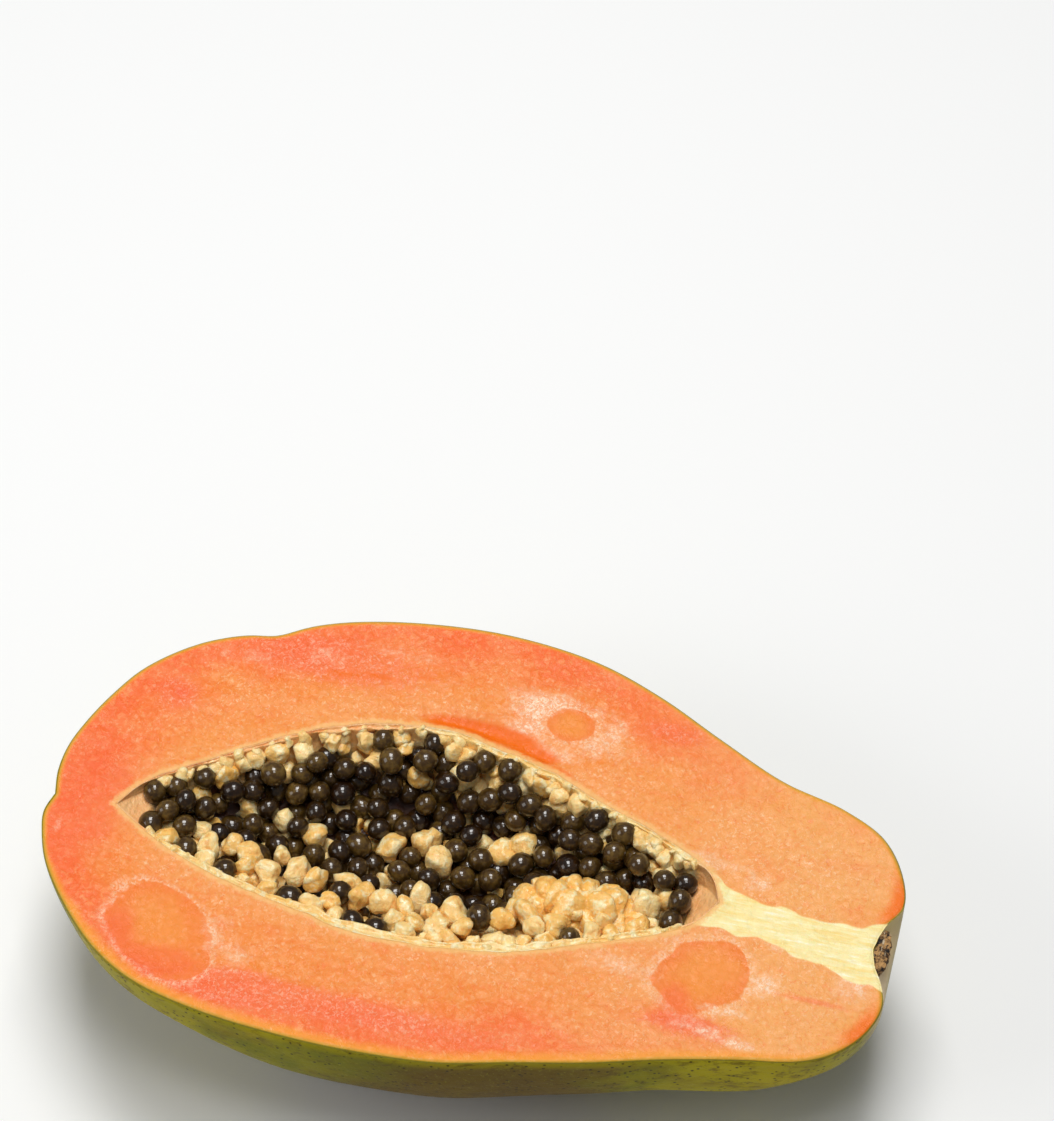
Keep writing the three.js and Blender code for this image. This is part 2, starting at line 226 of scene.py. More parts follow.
def smooth_noise(points, size, start, layers=1):
    """Values at the corners of a cubic lattice, blended smoothly in between, with each further
    layer at half the size and half the height."""
    total = 0
    for layer in range(layers):
        cell = points / (size / 2 ** layer)
        corner = np.floor(cell)
        part = cell - corner
        part = part * part * (3 - 2 * part)
        value = 0
        for step in product((0, 1), repeat=3):
            weight = np.prod(np.where(np.array(step), part, 1 - part), axis=-1)
            value = value + weight * hashed((corner + step).astype(np.int64), start + layer)
        total = total + value / 2 ** layer
    return total


def smooth_line(points):
    """A centripetal Catmull-Rom curve through the points, read by its share of arc length: on each
    span the cubic whose end slopes follow from the square roots of the neighbouring distances."""
    knots = np.array(points, float)
    knots = np.vstack([2 * knots[0] - knots[1], knots, 2 * knots[-1] - knots[-2]])
    spans = len(knots) - 3
    steps = np.sqrt(np.linalg.norm(np.diff(knots, axis=0), axis=1))[:, None]

    def at(t):
        place = np.clip(t * spans, 0, spans - 1e-9)
        i = place.astype(int)
        w = (place - i)[..., None]
        p0, p1, p2, p3 = (knots[i + k] for k in range(4))
        d0, d1, d2 = (steps[i + k] for k in range(3))
        start = ((p1 - p0) / d0 - (p2 - p0) / (d0 + d1) + (p2 - p1) / d1) * d1
        end = ((p2 - p1) / d1 - (p3 - p1) / (d1 + d2) + (p3 - p2) / d2) * d1
        square = -3 * p1 + 3 * p2 - 2 * start - end
        cube = 2 * p1 - 2 * p2 + start + end
        return p1 + w * (start + w * (square + w * cube))

    table = np.linspace(0, 1, 601)
    length = np.concatenate([[0], np.cumsum(np.linalg.norm(np.diff(at(table), axis=0), axis=1))])
    return lambda share: at(np.interp(share, length / length[-1], table))


def ease(t):
    """0 up to 0, 1 from 1 on, and a smooth cubic slope in between."""
    t = np.clip(t, 0, 1)
    return t * t * (3 - 2 * t)


def bowl(far, near, keel, fuller=0.0):
    """A bowl under the cut: at each share of the length a quarter ellipse from the far rim down to
    the keel, and another up to the near rim. The angle runs from 0 to half a turn. On the near side
    sine and cosine may be raised to a power under 1, which makes the section fuller than an
    ellipse, most beside the neck and not at all at the ends."""
    lines = [smooth_line(points) for points in (far, near, keel)]

    def at(share, angle):
        share, angle = np.broadcast_arrays(np.asarray(share, float), np.asarray(angle, float))
        far_rim, near_rim, low = (line(share) for line in lines)
        rim = np.where((angle < HALF_TURN / 2)[..., None], far_rim, near_rim)
        middle = (far_rim[..., 1] + near_rim[..., 1]) / 2
        swell = ease((share - 0.23) / 0.15) * ease((0.87 - share) / 0.08)
        swell = swell * (1 + 0.5 * np.exp(-(((share - NECK_SHARE) / 0.07) ** 2)))
        power = 1 - fuller * swell * (angle > HALF_TURN / 2)
        across = np.cos(angle) ** 2
        x = rim[..., 0] * across + low[..., 0] * (1 - across)
        y = middle + (rim[..., 1] - middle) * np.abs(np.cos(angle)) ** power
        z = DEPTH - low[..., 1] * np.abs(np.sin(angle)) ** power
        return np.stack([x, y, z], axis=-1)

    return at


plain_skin = bowl(RIM_FAR, RIM_NEAR, KEEL, FULLER)
plain_cavity = bowl(CAVITY_FAR, CAVITY_NEAR, CAVITY_KEEL)


def cavity(share, angle):
    """The bowl of the hollow with a slightly uneven outline that fades to nothing at both ends."""
    point = plain_cavity(share, angle)
    fade = np.sqrt(np.abs(np.sin(HALF_TURN * np.broadcast_to(share, point.shape[:-1]))))
    point[..., 1] += 0.45 * fade * smooth_noise(point, 5, 15, 2)
    return point


def section_middle(surface, share):
    """The point halfway between both rims."""
    return (surface(share, 0) + surface(share, HALF_TURN)) / 2


def skin(share, angle):
    """The bowl of the skin with soft ribs and a slightly uneven surface, flat where it rests. Ribs
    and unevenness fade to nothing at the rims and at both ends."""
    point = plain_skin(share, angle)
    outward = point - section_middle(plain_skin, share)
    reach = np.linalg.norm(outward, axis=-1, keepdims=True)
    outward = outward / np.maximum(reach, 1)
    across = np.sin(angle) ** 2 * np.sin(HALF_TURN * share)
    ribs = RIB_HEIGHT * np.cos(HALF_TURN * share) ** 2 * np.cos(RIBS * angle + HALF_TURN)
    uneven = 0.35 * smooth_noise(point, 17, 3, 2)
    point = point + outward * (across * (ribs + uneven))[..., None]
    place, side = NICK
    nick = np.exp(-(((point[..., 0] - place) / 5.5) ** 2) - ((DEPTH - point[..., 2]) / 4) ** 2)
    point[..., 1] -= side * nick * np.clip(point[..., 1] / 30, 0, 1)
    point[..., 2] = np.maximum(point[..., 2], 0)
    return point


def inside_cavity(share, angle, inward):
    """The cavity wall moved towards the middle of its section by some millimetres."""
    middle = section_middle(cavity, share)
    outward = cavity(share, angle) - middle
    reach = np.linalg.norm(outward, axis=-1)
    kept = np.maximum(reach - inward, 0) / np.maximum(reach, 1e-9)
    return middle + outward * kept[..., None]


def lining_depth(share, angle):
    """Thickness of the pulp on the wall: deep at the bottom, with a shelf at the near rim."""
    low = np.sin(angle) ** 1.4 * (0.72 - 0.28 * np.cos(angle))
    shelf = NEAR_SHELF * np.exp(-(((HALF_TURN - angle) / 0.62) ** 2))
    return LINING_GAP + LINING + (PULP_BED * low + shelf) * np.sin(HALF_TURN * share) ** 0.7


def stations(steps, margin=0.0):
    """Shares of the length, closer together near both ends."""
    t = np.linspace(0, 1, steps + 1)
    eased = (t + (1 - np.cos(HALF_TURN * t)) / 2) / 2
    return margin + (1 - 2 * margin) * eased


def grid_quads(rows, columns, first=0, turned=False):
    """Corner numbers of the cells of a grid whose points are numbered row by row."""
    corner = first + np.arange(rows * columns).reshape(rows, columns)
    quads = [corner[:-1, :-1], corner[:-1, 1:], corner[1:, 1:], corner[1:, :-1]]
    quads = np.stack(quads, axis=-1).reshape(-1, 4)
    return quads if turned else quads[:, ::-1]


def welded(points, quads):
    """Points that coincide become one, and a cell with a side of no length becomes a triangle."""
    _, kept, number = np.unique(
        np.round(points, 4), axis=0, return_index=True, return_inverse=True
    )
    quads = number.reshape(-1)[quads]
    same = quads == np.roll(quads, -1, axis=1)
    folded = quads[same.sum(1) == 1]
    order = (same[same.sum(1) == 1].argmax(1)[:, None] + 1 + np.arange(3)) % 4
    triangles = np.take_along_axis(folded, order, axis=1)
    whole = same.sum(1) == 0
    return kept, quads[whole], triangles, np.flatnonzero(whole), np.flatnonzero(same.sum(1) == 1)


def add_piece(name, points, quads, materials, node, part=None, values=None):
    """One piece from points in millimetres and four-cornered cells, with a material number for
    each cell and named values for each point."""
    kept, whole, triangles, whole_from, triangles_from = welded(points, quads)
    mesh = bpy.data.meshes.new(name)
    mesh.from_pydata((points[kept] * MM).tolist(), [], whole.tolist() + triangles.tolist())
    for material in materials:
        mesh.materials.append(material)
    if part is not None:
        numbers = np.concatenate([part[whole_from], part[triangles_from]]).astype(np.int32)
        mesh.polygons.foreach_set("material_index", numbers)
    for value_name, value in (values or {}).items():
        layer = mesh.attributes.new(value_name, "FLOAT", "POINT")
        layer.data.foreach_set("value", value[kept].astype(np.float32))
    mesh.polygons.foreach_set("use_smooth", np.ones(len(mesh.polygons), bool))
    mesh.update()
    piece = bpy.data.objects.new(name, mesh)
    bpy.context.scene.collection.objects.link(piece)
    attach(piece, BODY)
    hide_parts(node)
    return piece


def distance_to_line(points, line):
    """Shortest distance in plan from each point to a line of many short steps."""
    nearest = np.full(len(points), np.inf)
    for chunk in np.array_split(line, 24):
        apart = np.linalg.norm(points[:, None, :2] - chunk[None, :, :2], axis=-1)
        nearest = np.minimum(nearest, apart.min(axis=1))
    return nearest


class Recipe:
    """A material's node tree, with a short call for each kind of step."""

    def __init__(self, name, **finish):
        self.material = bpy.data.materials.new(name)
        self.material.use_nodes = True
        self.tree = self.material.node_tree
        self.shader = self.tree.nodes["Principled BSDF"]
        self.place = self.add("ShaderNodeTexCoord").outputs["Object"]
        for socket, value in finish.items():
            self.shader.inputs[socket.replace("_", " ")].default_value = value

    def add(self, kind, inputs=(), **settings):
        node = self.tree.nodes.new(kind)
        for key, value in settings.items():
            setattr(node, key, value)
        for key, value in dict(inputs).items():
            if isinstance(value, bpy.types.NodeSocket):
                self.tree.links.new(value, node.inputs[key])
            else:
                node.inputs[key].default_value = value
        return node

    def to(self, socket, value):
        self.tree.links.new(value, self.shader.inputs[socket])

    def shifted(self, by):
        """The place moved by some metres, for a pattern that differs from others of its size."""
        inputs = {"Vector": self.place, "Location": (by, -by, 2 * by)}
        return self.add("ShaderNodeMapping", inputs).outputs[0]

    def noise(self, size, detail=3.0, rough=0.55, place=None, stretch=(1, 1, 1), warp=0.0):
        """Cloudy noise whose blobs are about size millimetres wide, from 0 to 1."""
        place = self.add(
            "ShaderNodeMapping", {"Vector": place or self.place, "Scale": stretch}
        ).outputs[0]
        inputs = {
            "Vector": place, "Scale": 1 / (size * MM), "Detail": detail, "Roughness": rough,
            "Distortion": warp,
        }
        return self.add("ShaderNodeTexNoise", inputs).outputs["Fac"]

    def cells(self, size):
        """Distance from the middle of the nearest of many cells, about size millimetres wide."""
        inputs = {"Vector": self.place, "Scale": 1 / (size * MM)}
        return self.add("ShaderNodeTexVoronoi", inputs, feature="F1").outputs["Distance"]

    def value(self, name):
        return self.add("ShaderNodeAttribute", attribute_name=name).outputs["Fac"]

    def sums(self, operation, first, second, third=0.0):
        node = self.add("ShaderNodeMath", operation=operation)
        for socket, value in zip(node.inputs, (first, second, third)):
            if isinstance(value, bpy.types.NodeSocket):
                self.tree.links.new(value, socket)
            else:
                socket.default_value = value
        return node.outputs[0]

    def times(self, first, second):
        return self.sums("MULTIPLY", first, second)

    def plus(self, first, second):
        return self.sums("ADD", first, second)

    def scaled(self, value, factor, offset):
        """The value times a factor plus an offset."""
        return self.sums("MULTIPLY_ADD", value, factor, offset)

    def between(self, value, low, high):
        """0 below low, 1 above high, and a smooth slope in between; high may be the smaller one."""
        inputs = {"Value": value, "From Min": low, "From Max": high}
        return self.add("ShaderNodeMapRange", inputs, interpolation_type="SMOOTHSTEP").outputs[0]

    def blend(self, share, first, second):
        """The first colour where share is 0, the second where it is 1."""
        node = self.add("ShaderNodeMix", data_type="RGBA", blend_type="MIX")
        sockets = (node.inputs[0], node.inputs[6], node.inputs[7])
        for socket, value in zip(sockets, (share, first, second)):
            if isinstance(value, bpy.types.NodeSocket):
                self.tree.links.new(value, socket)
            elif isinstance(value, (int, float)):
                socket.default_value = value
            else:
                socket.default_value = (*value, 1)
        return node.outputs[2]

    def bump(self, height, rise, normal=None):
        """A relief of the given rise in millimetres."""
        inputs = {"Height": height, "Distance": rise * MM, "Strength": 1.0}
        if normal is not None:
            inputs["Normal"] = normal
        return self.add("ShaderNodeBump", inputs).outputs[0]

    def near(self, x, y, radius, wobble, stretch, turn):
        """Distance in plan from a spot, as a share of its radius, with an uneven edge."""
        place = self.add(
            "ShaderNodeMapping",
            {
                "Vector": self.place,
                "Location": (x * MM, y * MM, DEPTH * MM),
                "Rotation": (0, 0, turn),
                "Scale": (radius * stretch * MM, radius * MM, 1),
            },
            vector_type="TEXTURE",
        ).outputs[0]
        reach = self.add("ShaderNodeVectorMath", {0: place}, operation="LENGTH").outputs["Value"]
        return self.plus(reach, wobble)


def waxy_skin():
    """Olive green skin with yellow and brown clouds and fine dark dots; the brown under the middle
    of the near side also paints shade, and the yellow at both its ends also paints light.
    """
    m = Recipe(
        "waxy_skin",
        Roughness=0.42,
        IOR=1.3,
        Specular_IOR_Level=0.14,
        Specular_Tint=(0.8, 0.72, 0.2, 1),
    )
    clouds = m.noise(26, 6, 0.6, warp=0.3)
    color = m.blend(m.between(clouds, 0.3, 0.68), (0.125, 0.135, 0.003), (0.33, 0.29, 0.006))
    yellow = m.between(m.noise(42, 5, 0.6, place=m.shifted(0.3)), 0.5, 0.72)
    color = m.blend(m.times(yellow, 0.7), color, (0.5, 0.35, 0.012))
    uneven = m.scaled(clouds, 1.0, -0.5)
    # Yellower at both ends of the near side: partly the skin's yellowing, partly painted light.
    yellow_and_painted_light = m.between(m.plus(m.value("yellow_and_painted_light"), uneven), 0.1, 0.9)
    color = m.blend(m.times(yellow_and_painted_light, 0.7), color, (0.46, 0.38, 0.006))
    brown = m.between(m.noise(15, 6, 0.65, stretch=(0.6, 1.3, 1), warp=0.4), 0.5, 0.75)
    color = m.blend(m.times(brown, 0.6), color, (0.14, 0.07, 0.01))
    # Brown under the middle of the near side: a brown patch that also paints the shade there.
    brown_and_painted_shade = m.between(m.plus(m.value("brown_and_painted_shade"), uneven), 0.3, 0.8)
    color = m.blend(m.times(brown_and_painted_shade, 0.85), color, (0.12, 0.06, 0.008))
    near_rim = m.between(m.value("rim_drop"), 4.5, 0.3)
    color = m.blend(m.times(near_rim, 0.6), color, (0.45, 0.37, 0.02))
    flecks = m.between(m.noise(3.2, 5, 0.75, stretch=(0.5, 1, 1), warp=0.4), 0.5, 0.66)
    color = m.blend(m.times(flecks, 0.65), color, (0.1, 0.055, 0.01))
    dots = m.between(m.cells(1.9), 0.27, 0.13)
    some = m.between(m.noise(7, 3, place=m.shifted(0.7)), 0.25, 0.48)
    dots = m.times(dots, m.times(some, 0.95))
    color = m.blend(dots, color, (0.035, 0.022, 0.008))
    specks = m.between(m.noise(0.9, 2, 0.7), 0.58, 0.72)
    color = m.blend(m.times(specks, 0.45), color, (0.34, 0.32, 0.04))
    stalk_end = m.between(m.value("stalk_end"), 0.2, 1.0)
    color = m.blend(m.times(stalk_end, 0.9), color, (0.82, 0.62, 0.36))
    m.to("Base Color", color)
    relief = m.bump(m.noise(1.4, 4, 0.65), 0.12)
    m.to("Normal", m.bump(m.noise(9, 3), 0.5, relief))
    return m.material


def cut_flesh():
    """Wet flesh: coral near the skin, peach towards the hollow and the neck, a yellow and green
    line at the skin, a pale strand to the stalk, and juicy patches ringed with froth. White froth
    is partly painted highlight, and pale patches and specks are painted sheen and glints."""
    m = Recipe(
        "cut_flesh",
        Roughness=0.3,
        Subsurface_Weight=0.1,
        Subsurface_Scale=0.003,
        Subsurface_Radius=(1.0, 0.35, 0.12),
        IOR=1.33,
    )
    skin_mm = m.value("skin_mm")
    hollow_mm = m.value("hollow_mm")
    clouds = m.noise(26, 4, 0.6)
    mottle = m.noise(2.0, 5, 0.75, warp=0.8)
    grain = m.noise(0.9, 3, 0.75, warp=0.8)
    uneven_part = m.scaled(m.noise(7, 4, 0.6), 1.0, -0.5)

    orange = (0.89, 0.25, 0.034)
    coral = (0.92, 0.14, 0.022)
    peach = (0.9, 0.39, 0.1)
    deep_orange = (0.9, 0.16, 0.006)
    uneven = m.scaled(clouds, 20.0, -10.0)
    toward_skin = m.between(m.plus(skin_mm, uneven), 18, 5)
    toward_skin = m.sums("MAXIMUM", toward_skin, m.between(m.value("coral"), 0.1, 0.9))
    color = m.blend(toward_skin, orange, coral)
    toward_hollow = m.between(m.plus(hollow_mm, uneven), 12, 0)
    color = m.blend(m.times(toward_hollow, 0.4), color, peach)
    toward_neck = m.times(m.value("neck"), m.between(clouds, 0.1, 0.55))
    color = m.blend(toward_neck, color, peach)
    streaks = m.between(m.noise(7, 4, 0.6, stretch=(0.35, 1, 1), warp=0.4), 0.5, 0.7)
    color = m.blend(m.times(streaks, 0.3), color, (0.9, 0.19, 0.035))
    pinkish = m.times(m.between(mottle, 0.48, 0.66), 0.5)
    color = m.blend(pinkish, color, (0.96, 0.4, 0.14))
    reddish = m.times(m.between(mottle, 0.48, 0.34), 0.45)
    color = m.blend(reddish, color, (0.88, 0.16, 0.02))
    # Pale patches below are painted sheen, and the pale specks in them are painted glints.
    sheen_patch = m.noise(9, 4, 0.65, place=m.shifted(0.2), stretch=(0.5, 1, 1), warp=0.5)
    sheen_patch = m.between(sheen_patch, 0.4, 0.62)
    strength = m.scaled(sheen_patch, 0.5, 0.3)
    painted_glints = m.times(m.between(grain, 0.54, 0.64), strength)
    painted_glints = m.times(painted_glints, m.scaled(toward_skin, -0.5, 1.0))
    color = m.blend(painted_glints, color, (0.99, 0.6, 0.33))
    painted_sheen = m.times(sheen_patch, 0.16)
    color = m.blend(painted_sheen, color, (0.95, 0.44, 0.18))
    pores = m.between(m.cells(2.1), 0.13, 0.05)
    color = m.blend(m.times(pores, 0.4), color, (0.7, 0.07, 0.03))

    froth = m.between(m.noise(1.1, 4, 0.8, warp=1.0), 0.46, 0.6)
    ragged = m.scaled(m.noise(5, 5, 0.75, warp=0.5), 2.0, -1.0)
    froth_and_highlight = m.plus(m.value("froth_and_highlight"), ragged)
    rosy = m.plus(m.value("rosy"), m.scaled(mottle, 1.6, -0.8))
    rosy = m.between(rosy, 0.3, 0.9)
    color = m.blend(m.times(rosy, 0.65), color, (0.92, 0.14, 0.04))
    # Pale pink specks in the rosy parts are painted glints.
    rosy_painted_glints = m.times(rosy, m.between(grain, 0.52, 0.6))
    color = m.blend(m.times(rosy_painted_glints, 0.5), color, (0.98, 0.48, 0.32))

    wobble = m.scaled(m.noise(11, 3, 0.5), 0.7, -0.35)
    for x, y, radius, stretch, turn, ring_width in JUICY_SPOTS:
        reach = m.near(x, y, radius, wobble, stretch, turn)
        outward = m.between(m.plus(reach, uneven_part), 0.3, 1.1)
        spot = m.blend(outward, (0.91, 0.28, 0.04), (0.9, 0.2, 0.025))
        color = m.blend(m.times(m.between(reach, 1.04, 0.94), 0.8), color, spot)
        ring = m.times(m.between(reach, 0.97, 1.02), m.between(reach, 1.08 + ring_width, 1.04))
        ring = m.times(ring, m.scaled(froth, 0.75, 0.05))
        color = m.blend(ring, color, (0.98, 0.6, 0.38))

    # White froth, partly painted highlights.
    strength = m.scaled(froth, 0.6, 0.2)
    froth_with_highlight = m.times(m.between(froth_and_highlight, 0.3, 0.9), strength)
    color = m.blend(froth_with_highlight, color, (0.97, 0.64, 0.42))
    strength = m.scaled(froth, 0.8, 0.1)
    white = m.times(m.between(froth_and_highlight, 0.75, 1.3), strength)
    color = m.blend(white, color, (1.0, 0.82, 0.62))
    red = m.plus(m.value("red"), m.scaled(mottle, 0.9, -0.45))
    red = m.between(red, 0.2, 1.0)
    color = m.blend(m.times(red, 0.45), color, (0.92, 0.11, 0.03))
    color = m.blend(m.between(m.value("juicy"), 0.2, 0.8), color, deep_orange)

    band = m.times(skin_mm, m.value("thin_band"))
    band = m.plus(band, m.scaled(m.noise(6, 2), 2.0, -1.0))
    color = m.blend(m.times(m.between(band, 4.4, 1.2), 0.8), color, (0.93, 0.35, 0.03))
    color = m.blend(m.times(m.between(skin_mm, 1.3, 0.5), 0.85), color, (0.62, 0.34, 0.03))
    glow = m.times(m.value("glow"), m.between(skin_mm, 6.5, 1.0))
    color = m.blend(m.between(glow, 0.1, 1.0), color, (0.91, 0.18, 0.01))
    color = m.blend(m.between(skin_mm, 0.5, 0.2), color, (0.26, 0.22, 0.015))

    fibres = m.noise(1.3, 4, 0.7, stretch=(0.15, 1, 1))
    pale = m.blend(m.between(fibres, 0.3, 0.6), (0.95, 0.7, 0.24), (0.97, 0.84, 0.42))
    pale = m.blend(m.between(fibres, 0.56, 0.7), pale, (1.0, 0.95, 0.7))
    color = m.blend(m.between(m.value("strand"), 0.3, 0.7), color, pale)
    edge = m.plus(hollow_mm, m.scaled(m.noise(2.4, 4, 0.7), 3.6, -1.8))
    color = m.blend(m.times(m.between(edge, 1.9, 0.6), 0.85), color, (0.93, 0.5, 0.17))
    m.to("Base Color", color)

    wet = m.between(m.noise(5, 4, 0.7), 0.35, 0.7)
    m.to("Roughness", m.scaled(wet, 0.24, 0.18))
    relief = m.bump(grain, 0.1)
    relief = m.bump(mottle, 0.3, relief)
    m.to("Normal", m.bump(m.noise(12, 3), 0.8, relief))
    return m.material


def hollow_wall():
    """Smooth tan flesh inside the hollow."""
    m = Recipe("hollow_wall", Roughness=0.4, Subsurface_Weight=0.1, Subsurface_Scale=0.003)
    clouds = m.noise(6, 4)
    m.to("Base Color", m.blend(m.between(clouds, 0.3, 0.7), (0.93, 0.4, 0.12), (0.95, 0.53, 0.22)))
    m.to("Normal", m.bump(m.noise(2.5, 4), 0.4))
    return m.material


def pale_pulp():
    """Moist cream pulp, lighter on the tops of its relief as a painted highlight and golden in its
    hollows, partly as painted shade, brown jelly between the seeds that also paints the shade deep
    in the hollow, and tan bare wall.
    """
    m = Recipe(
        "pale_pulp",
        Roughness=0.38,
        Subsurface_Weight=0.2,
        Subsurface_Scale=0.003,
        Subsurface_Radius=(1.0, 0.6, 0.25),
        Coat_Weight=0.3,
        Coat_Roughness=0.15,
    )
    clouds = m.noise(2.4, 4, 0.65)
    color = m.blend(m.value("tint"), (1.0, 0.71, 0.3), (0.97, 0.52, 0.11))
    # Lighter cream on the tops of the relief is a painted highlight; golden in its hollows is
    # partly painted shade.
    color = m.blend(m.times(m.between(clouds, 0.48, 0.64), 0.85), color, (1.0, 0.86, 0.5))
    color = m.blend(m.times(m.between(clouds, 0.45, 0.3), 0.7), color, (0.86, 0.38, 0.07))
    # Dark brown jelly between the seeds, which also paints the shade deep in the hollow.
    jelly = m.plus(m.value("jelly"), m.scaled(m.noise(4, 3), 0.8, -0.4))
    color = m.blend(m.between(jelly, 0.25, 0.6), color, (0.1, 0.026, 0.007))
    tan = m.blend(m.between(m.noise(6, 4), 0.3, 0.7), (0.95, 0.4, 0.12), (0.97, 0.54, 0.23))
    color = m.blend(m.between(m.value("bare"), 0.3, 0.8), color, tan)
    m.to("Base Color", color)
    relief = m.bump(m.noise(0.7, 3, 0.7), 0.1)
    m.to("Normal", m.bump(clouds, 0.9, relief))
    return m.material


def seed_coat():
    """A dark seed seen through a wet, olive brown coat of jelly, darkened towards its outline as
    painted shade.
    """
    m = Recipe(
        "seed_coat",
        Roughness=0.35,
        IOR=1.3,
        Specular_IOR_Level=0.3,
        Coat_Weight=1.0,
        Coat_Roughness=0.03,
        Coat_IOR=1.52,
    )
    tint = m.value("tint")
    clouds = m.noise(1.8, 4, 0.65)
    dark = m.blend(tint, (0.010, 0.0035, 0.001), (0.065, 0.031, 0.006))
    light = m.blend(tint, (0.03, 0.011, 0.002), (0.18, 0.105, 0.02))
    color = m.blend(m.between(clouds, 0.4, 0.7), dark, light)
    # Darker towards the outline: painted shade.
    facing = m.add("ShaderNodeLayerWeight", {"Blend": 0.3}).outputs["Facing"]
    color = m.blend(m.between(facing, 0.35, 0.95), color, (0.03, 0.014, 0.006))
    m.to("Base Color", color)
    m.to("Normal", m.bump(m.noise(1.3, 3, 0.6), 0.3))
    return m.material


def dry_cork():
    """Brown, crumbly rest of the stalk with black bits and pale fibres."""
    m = Recipe("dry_cork", Roughness=0.8)
    crumbs = m.noise(1.5, 5, 0.7, warp=0.5)
    color = m.blend(m.between(crumbs, 0.38, 0.6), (0.06, 0.025, 0.008), (0.62, 0.34, 0.12))
    bits = m.between(m.noise(2.2, 3, 0.6, place=m.shifted(0.4)), 0.52, 0.62)
    color = m.blend(bits, color, (0.015, 0.01, 0.008))
    fibres = m.between(m.noise(1.0, 3, 0.7, place=m.shifted(0.9), stretch=(1, 0.3, 1)), 0.6, 0.68)
    color = m.blend(m.times(fibres, 0.8), color, (0.75, 0.62, 0.42))
    m.to("Base Color", color)
    m.to("Normal", m.bump(crumbs, 1.1))
    return m.material


def strand_mask(points):
    """1 inside the pale strand, falling to 0 over about a millimetre at its uneven edges."""
    far_y = np.interp(points[:, 0], *np.array(STRAND_FAR).T)
    near_y = np.interp(points[:, 0], *np.array(STRAND_NEAR).T)
    uneven = 1.1 * smooth_noise(points, 5, 21, 2)
    inside = np.minimum(far_y - points[:, 1], points[:, 1] - near_y) + uneven
    return np.clip(inside / 1.6 + 0.5, 0, 1) * (points[:, 0] > 58)


def spots(points, places):
    """Sum of soft round spots, each given as x, y, reach along, reach across and strength."""
    total = 0
    for x, y, along, across, strength in places:
        apart = ((points[:, 0] - x) / along) ** 2 + ((points[:, 1] - y) / across) ** 2
        total = total + strength * np.exp(-apart)
    return total


def face_relief(points, skin_mm, hollow_mm):
    """Height of the cut face over its plane: shallow waves and dents, and rounded edges."""
    waves = 0.3 * smooth_noise(points, 22, 5, 3) + 0.1 * smooth_noise(points, 4, 9, 2)
    dents = spots(points, DENTS) + 1.1 * spots(points, JUICY_SMEARS[:3])
    away = (1 - np.exp(-skin_mm / 3)) * np.clip(hollow_mm / 3, 0, 1)
    skin_edge = 0.5 * np.clip(1 - skin_mm / 0.9, 0, 1) ** 2
    hollow_edge = 0.12 * np.clip(1 - hollow_mm / 1.5, 0, 1) ** 2
    return (waves - dents - 0.2) * away - skin_edge - hollow_edge


def flesh_and_skin():
    """The closed wall of the fruit as three grids that meet at the rims: the skin, rings on the cut
    face between both outlines, and the wall of the hollow."""
    along = stations(ALONG)[:, None]
    round_skin = np.linspace(0, HALF_TURN, ROUND + 1)
    round_wall = np.linspace(0, HALF_TURN, WALL_ROUND + 1)
    skin_rows = skin(along, round_skin)
    wall_rows = cavity(along, round_wall)
    outer = np.vstack([skin_rows[:, 0], skin_rows[::-1, -1]])
    inner = np.vstack([wall_rows[:, 0], wall_rows[::-1, -1]])
    ring = np.linspace(0, 1, FACE_RINGS + 1)
    ring = (ring + (1 - np.cos(HALF_TURN * ring)) / 2) / 2
    face = outer[:, None] + (inner - outer)[:, None] * ring[None, :, None]
    grids = [skin_rows, face, wall_rows]
    sizes = [rows.shape[0] * rows.shape[1] for rows in grids]
    points = np.vstack([rows.reshape(-1, 3) for rows in grids])
    firsts = np.cumsum([0] + sizes[:-1])
    cells = [
        grid_quads(*rows.shape[:2], first=first, turned=turned)
        for rows, first, turned in zip(grids, firsts, (False, True, True))
    ]
    part = np.concatenate([np.full(len(c), k) for k, c in enumerate(cells)])
    skin_mm = distance_to_line(points, outer)
    hollow_mm = distance_to_line(points, inner)
    on_face = np.abs(points[:, 2] - DEPTH) < 1e-6
    values = {
        "skin_mm": np.where(on_face, skin_mm, 0),
        "hollow_mm": np.where(on_face, hollow_mm, 0),
        "strand": strand_mask(points) * on_face,
        "neck": np.clip((points[:, 0] - 20) / 60, 0, 1),
        # White froth and painted highlights, held back in the oval juicy spot.
        "froth_and_highlight": spots(points, FROTH_AND_HIGHLIGHT_SPOTS) - spots(points, NO_FROTH_OR_HIGHLIGHT),
        "glow": spots(points, GLOWING_ENDS),
        "thin_band": 1 + 1.3 * ease((points[:, 1] + 50) / 30),
        "rosy": spots(points, ROSY_SPOTS),
        "coral": spots(points, CORAL_SPOTS),
        "juicy": spots(points, JUICY_SMEARS),
        "red": spots(points, RED_SPOTS),
        "rim_drop": DEPTH - points[:, 2],
        # Brown with painted shade under the middle of the near side, yellow with painted light at
        # its ends.
        "brown_and_painted_shade": spots(points, BROWN_AND_PAINTED_SHADE_SKIN),
        "yellow_and_painted_light": spots(points, YELLOW_AND_PAINTED_LIGHT_SKIN),
        "stalk_end": spots(points, STALK_END) * np.clip((points[:, 2] - DEPTH + 20) / 12, 0, 1),
    }
    points[:, 2] += np.where(on_face, face_relief(points, skin_mm, hollow_mm), 0)
    materials = [waxy_skin(), cut_flesh(), hollow_wall()]
    cells = np.vstack(cells)
    return add_piece(
        "flesh_and_skin", points, cells, materials, "fruit_wall", part, values
    )


